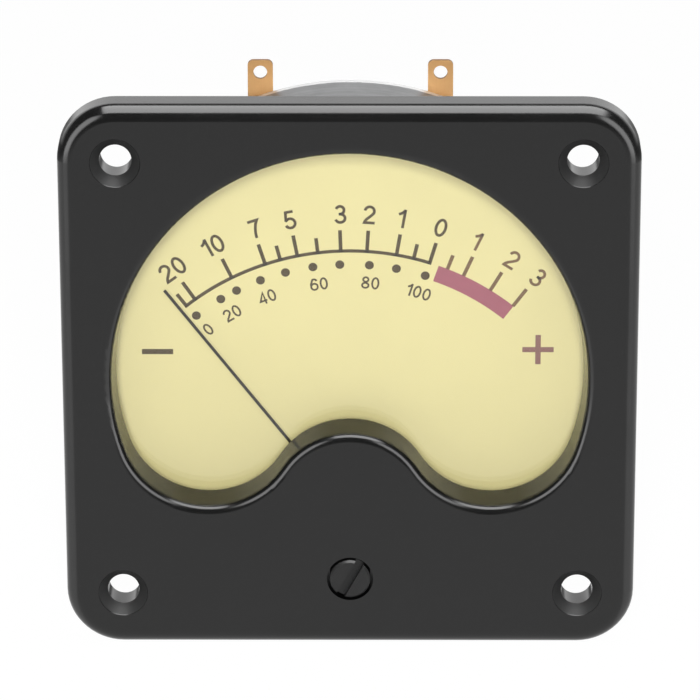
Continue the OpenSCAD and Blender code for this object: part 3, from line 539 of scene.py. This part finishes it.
# Each figure: its width, then its strokes in a cell one high. A stroke in "o" is closed.
FIGURES = {
    "0": (0.62, [("o", bow(0.31, 0.5, 0.31 - H, 0.5 - H, 90, 440, 27))]),
    "1": (
        0.40,
        [
            ("", line((0.33, 0), (0.33, 1))),
            ("", line((0.03, 0.71), (0.16, 0.77), (0.27, 0.87), (0.335, 0.98))),
        ],
    ),
    "2": (
        0.62,
        [
            (
                "",
                bow(0.31, 0.70, 0.235, 0.235, 175, -35)
                + line((0.36, 0.42), (0.18, 0.26), (0.10, 0.15), (0.075, H), (0.60, H)),
            )
        ],
    ),
    "3": (
        0.62,
        [
            ("", bow(0.30, 0.725, 0.205, 0.21, 160, -90) + line((0.23, 0.515))),
            ("", line((0.23, 0.515)) + bow(0.30, 0.29, 0.245, 0.225, 90, -165)),
        ],
    ),
    "4": (0.62, [("", line((0.46, 0), (0.46, 0.93), (0.06, 0.28), (0.61, 0.28)))]),
    "5": (
        0.62,
        [
            (
                "",
                line((0.55, TOP), (0.17, TOP), (0.11, 0.5))
                + bow(0.30, 0.315, 0.25, 0.25, 135, -160),
            )
        ],
    ),
    "6": (
        0.62,
        [
            ("o", bow(0.32, 0.32, 0.25, 0.32 - H, 90, 440, 20)),
            (
                "",
                bow(0.33, 0.70, 0.22, 0.30 - H, 20, 120, 8)
                + bow(0.36, 0.44, 0.29, 0.36, 140, 182, 6),
            ),
        ],
    ),
    "7": (
        0.60,
        [
            (
                "",
                line((0.05, TOP), (0.56, TOP), (0.43, 0.74), (0.33, 0.48), (0.27, 0.22), (0.25, 0)),
            )
        ],
    ),
    "8": (
        0.62,
        [
            ("o", bow(0.31, 0.745, 0.20, 0.255 - H, 90, 440, 20)),
            ("o", bow(0.31, 0.275, 0.245, 0.275 - H, 90, 440, 20)),
        ],
    ),
}


def figures(bm, text, centre, height, angle):
    """Text of figures, centred on a point of the dial and leaned with the scale."""
    total = sum(FIGURES[c][0] for c in text) + FIGURE_SPACE * (len(text) - 1)
    a = math.radians(angle)
    across, up = Vector((math.cos(a), -math.sin(a))), Vector((math.sin(a), math.cos(a)))
    x = -total / 2
    for c in text:
        width, strokes = FIGURES[c]
        for kind, points in strokes:
            placed = [
                centre + (across * (x + p.x) + up * (p.y - 0.5)) * height for p in points
            ]
            stroke(bm, placed, PEN * height, kind == "o")
        x += width + FIGURE_SPACE


LONG, SHORT = 2.7, 1.9
TICK_W, LINE_W = 0.45, 0.42
TICK_SUNK = 0.05  # how far a tick of the red zone reaches into its band
ARC_FROM, ARC_TO = -39.4, 18.0
# Each tick: its angle and its length
DARK_TICKS = [
    (ARC_FROM, SHORT), (-36.9, LONG), (-27.2, LONG), (-19.1, LONG), (-15.6, SHORT), (-11.7, LONG),
    (-7.1, SHORT), (-2.0, LONG), (3.8, LONG), (10.4, LONG), (14.3, SHORT), (ARC_TO, LONG),
]
RED_TICKS = [(22.2, SHORT), (26.1, LONG), (33.0, LONG), (39.3, LONG)]
BAND_W, BAND_FROM, BAND_TO = 2.1, 20.1, 39.4
# The figures over the arc and, in SHARES, those under it, each with its angle
LEVELS = [
    ("20", -36.6), ("10", -27.4), ("7", -18.6), ("5", -11.6), ("3", -1.8), ("2", 3.8),
    ("1", 10.0), ("0", 17.8),
]
RED_LEVELS = [("1", 25.2), ("2", 33.1), ("3", 39.3)]
SHARES = [("0", -39.2), ("20", -31.6), ("40", -21.6), ("60", -7.9), ("80", 5.25), ("100", 17.8)]
DOTS = [-39.15, -32.0, -27.7, -21.5, -15.3, -8.7, -2.35, 4.6, 11.0, 18.0]
LEVEL_R, SHARE_R, DOT_R = ARC_R + 4.75, ARC_R - 4.05, ARC_R - 1.75
LEVEL_H, SHARE_H, DOT_D = 2.4, 1.6, 1.1
SIGN_W, SIGN_T = 3.85, 0.67
MINUS_AT, PLUS_AT = (-23.7, 0.5), (23.1, 0.8)


def draw_scale(bm):
    steps = 60
    arc = [on_ring(ARC_FROM + (ARC_TO - ARC_FROM) * i / steps, ARC_R) for i in range(steps + 1)]
    stroke(bm, arc, LINE_W)
    for angle, length in DARK_TICKS:
        stroke(bm, [swing(angle, -LINE_W / 2), swing(angle, length)], TICK_W)


def draw_band(bm):
    steps = 30
    for i in range(steps):
        a, b = (BAND_FROM + (BAND_TO - BAND_FROM) * k / steps for k in (i, i + 1))
        slab_of(bm, [swing(a, -BAND_W), swing(b, -BAND_W), swing(b, 0), swing(a, 0)])


def draw_red_ticks(bm):
    for angle, length in RED_TICKS:
        stroke(bm, [swing(angle, -TICK_SUNK), swing(angle, length)], TICK_W)


def row_of(labels, r, height):
    """Draws a row of (text, angle) labels on a ring of radius r."""

    def draw(bm):
        for text, angle in labels:
            figures(bm, text, on_ring(angle, r), height, angle)

    return draw


def draw_dots(bm):
    sides = 24
    corners = [
        Vector((math.cos(2 * math.pi * i / sides), math.sin(2 * math.pi * i / sides)))
        for i in range(sides)
    ]
    for angle in DOTS:
        slab_of(bm, [on_ring(angle, DOT_R) + DOT_D / 2 * corner for corner in corners])


def draw_bar(bm, centre, w, h):
    x, z = centre
    low, high = (x - w / 2, z - h / 2), (x + w / 2, z + h / 2)
    slab_of(bm, line(low, (high[0], low[1]), high, (low[0], high[1])))


def draw_minus(bm):
    draw_bar(bm, MINUS_AT, SIGN_W, SIGN_T)


def draw_plus(bm):
    x, z = PLUS_AT
    draw_bar(bm, PLUS_AT, SIGN_W, SIGN_T)
    arm = (SIGN_W - SIGN_T) / 2
    for side in (-1, 1):
        draw_bar(bm, (x, z + side * (SIGN_T + arm) / 2), SIGN_T, arm)


printed("scale_line", draw_scale, "ink_dark")
printed("scale_numbers", row_of(LEVELS, LEVEL_R, LEVEL_H), "ink_dark")
printed("share_numbers", row_of(SHARES, SHARE_R, SHARE_H), "ink_dark")
printed("share_dots", draw_dots, "ink_dark")
printed("minus_sign", draw_minus, "ink_dark")
printed("red_zone", draw_band, "ink_red")
printed("red_zone_ticks", draw_red_ticks, "ink_brown")
printed("red_zone_numbers", row_of(RED_LEVELS, LEVEL_R, LEVEL_H), "ink_brown")
printed("plus_sign", draw_plus, "ink_rose")


# ---------------------------------------------------------------- studio
# Levels of light, where 1 is white
MATT_ROOM = 0.2  # what falls evenly on matt surfaces; the levels below are seen by gloss alone
DIM_FRONT = 0.2
WALL = 1.15
SOFT_BOX = 7.9
CARD = 5.0
GROUND, GROUND_SIDES = 1.0, 0.45
# Soft limits of those shapes, in the direction (x, y, z) that gloss looks
BOX_AHEAD = (-0.80, -0.68), (0.52, 0.68)  # of y/z
BOX_ASIDE = (-0.36, -0.28), (0.55, 0.72)  # of x/z
WALL_BACK = (-0.1, 0.6)  # of y
WALL_RISE = (-0.14, 0.0), (0.6, 0.76)  # of z/y
CARD_LEAN = (0.497, 0.814, 0.302)  # square to the plane that the two cards' long sides follow
CARD_ACROSS = (-0.52, -0.42), (0.04, 0.11)  # along CARD_LEAN
CARD_ASIDE, CARD_TOP = (0.28, 0.38), (0.62, 0.72)  # of |x| and z
SIDES_ASIDE, SIDES_BACK = (0.5, 0.6), (-0.3, 0.5)  # of |x| and y
GROUND_END = -0.325  # how far below level the ground starts to fade
HAZE, HAZE_THINS = 0.113, -0.1  # how far the fade reaches up, and its change with y
NOT_ZERO = 0.02  # the least value to divide by

FLOOR_HALF = 3.0  # in metres
FLOOR_WHITE, FLOOR_GLOW = 0.85, 1.05
FLOOR_SEEN = 0.92  # the glow's share for the camera; the rest shows the meter's shadow


def world_tree():
    """A white room. Gloss sees a soft box overhead, a white wall behind the meter, a dim front
    with a leaning card on each side of the camera, and a white ground, lighter at the sides."""
    world = bpy.data.worlds.new("studio")
    scene.world = world
    world.use_nodes = True
    n = Nodes(world.node_tree)
    way = n.xyz(n.add("ShaderNodeTexCoord").outputs["Generated"])
    x, y, z = way["X"], way["Y"], way["Z"]
    wide = n.math("ABSOLUTE", x)

    up, back = (n.math("MAXIMUM", k, NOT_ZERO) for k in (z, y))
    box = n.times(
        n.between(n.math("DIVIDE", y, up), *BOX_AHEAD),
        n.between(n.math("DIVIDE", x, up), *BOX_ASIDE),
    )
    rise = n.math("DIVIDE", z, back)
    wall = n.times(n.spread(y, 0, 1, *WALL_BACK), n.between(rise, *WALL_RISE))

    a, b, c = CARD_LEAN
    across = n.plus(n.plus(n.times(wide, a), n.times(y, b)), n.times(z, c))
    card = n.times(n.between(across, *CARD_ACROSS), n.spread(wide, 0, 1, *CARD_ASIDE))
    card = n.times(card, n.spread(z, 1, 0, *CARD_TOP))

    sides = n.times(n.spread(wide, 0, 1, *SIDES_ASIDE), n.spread(y, 1, 0, *SIDES_BACK))
    ground = n.plus(GROUND, n.times(sides, GROUND_SIDES))

    gloss = DIM_FRONT
    for shape, level in ((wall, WALL), (box, SOFT_BOX), (card, CARD)):
        gloss = n.plus(gloss, n.times(shape, level))
    # The ground ends in a haze, deep in front of the meter and thin behind it
    haze = n.plus(HAZE, n.times(y, HAZE_THINS))
    low = n.spread(n.math("DIVIDE", n.math("SUBTRACT", z, GROUND_END), haze), 1, 0, 0, 1)
    gloss = n.plus(gloss, n.times(low, n.math("SUBTRACT", ground, gloss)))

    path = n.add("ShaderNodeLightPath").outputs
    seen = n.math("MAXIMUM", path["Is Camera Ray"], path["Is Transmission Ray"])
    level = n.times(path["Is Glossy Ray"], n.math("SUBTRACT", gloss, MATT_ROOM))
    level = n.plus(level, MATT_ROOM)
    level = n.plus(n.times(seen, n.math("SUBTRACT", 1.0, level)), level)
    light = n.add("ShaderNodeBackground", {"Color": grey(1.0), "Strength": level})
    n.add("ShaderNodeOutputWorld", {"Surface": light.outputs[0]})


def floor_white(n):
    """A floor that glows white for the camera, and shows the meter's shadow faintly."""
    path = n.add("ShaderNodeLightPath").outputs
    lit = n.add("ShaderNodeBsdfDiffuse", {"Color": grey(FLOOR_WHITE)}).outputs[0]
    glow = n.add("ShaderNodeEmission", {"Color": grey(1.0), "Strength": FLOOR_GLOW}).outputs[0]
    seen = n.math("MAXIMUM", path["Is Camera Ray"], path["Is Transmission Ray"])
    seen = n.math("MAXIMUM", seen, path["Is Glossy Ray"])
    share = n.times(seen, FLOOR_SEEN)
    return n.add("ShaderNodeMixShader", {0: share, 1: lit, 2: glow}).outputs[0]


def floor():
    half, z = FLOOR_HALF, cad_low.z
    mesh = bpy.data.meshes.new("floor")
    corners = [(-half, -half, z), (half, -half, z), (half, half, z), (-half, half, z)]
    mesh.from_pydata(corners, [], [(0, 1, 2, 3)])
    o = bpy.data.objects.new("floor", mesh)
    scene.collection.objects.link(o)
    mesh.materials.append(material("floor_white", floor_white))
    o.visible_glossy = False  # gloss sees the world's white ground in its place


def lamp(name, place, target, size, power):
    data = bpy.data.lights.new(name, "AREA")
    data.shape = "RECTANGLE"
    data.size, data.size_y = size
    data.energy = power
    o = bpy.data.objects.new(name, data)
    scene.collection.objects.link(o)
    o.location = place
    o.rotation_mode = "QUATERNION"
    o.rotation_quaternion = (Vector(target) - Vector(place)).to_track_quat("-Z", "Y")
    o.visible_glossy = False


def camera():
    """The photograph's viewpoint, fitted to the plate's edges, its holes and the window."""
    focal_px, image_px, sensor = 4945.0, 700.0, 36.0
    away, aside = 0.6, 0.00469  # in metres, from the middle of the plate's front
    rise, yaw, pitch, roll = 0.3759, -0.0083, -0.0066, 0.0021  # in radians
    front = cad_low.y
    data = bpy.data.cameras.new("camera")
    data.sensor_width = sensor
    data.lens = focal_px / image_px * sensor
    data.clip_start, data.clip_end = 0.01, 20
    o = bpy.data.objects.new("camera", data)
    scene.collection.objects.link(o)
    dip = rise + pitch
    look = Vector((math.sin(yaw) * math.cos(dip), math.cos(yaw) * math.cos(dip), -math.sin(dip)))
    right = look.cross(Vector((0, 0, 1))).normalized()
    top = right.cross(look)
    c, s = math.cos(roll), math.sin(roll)
    axes = (right * c - top * s, right * s + top * c, -look)
    turn = Matrix(axes).transposed().to_4x4()
    place = Matrix.Translation((aside, front - away * math.cos(rise), away * math.sin(rise)))
    o.matrix_world = place @ turn
    scene.camera = o


scene.view_settings.view_transform = "Standard"
world_tree()
floor()
lamp("front_box", place=(0.0, -0.84, 0.33), target=(0, 0, 0), size=(0.22, 0.22), power=6.9)
camera()
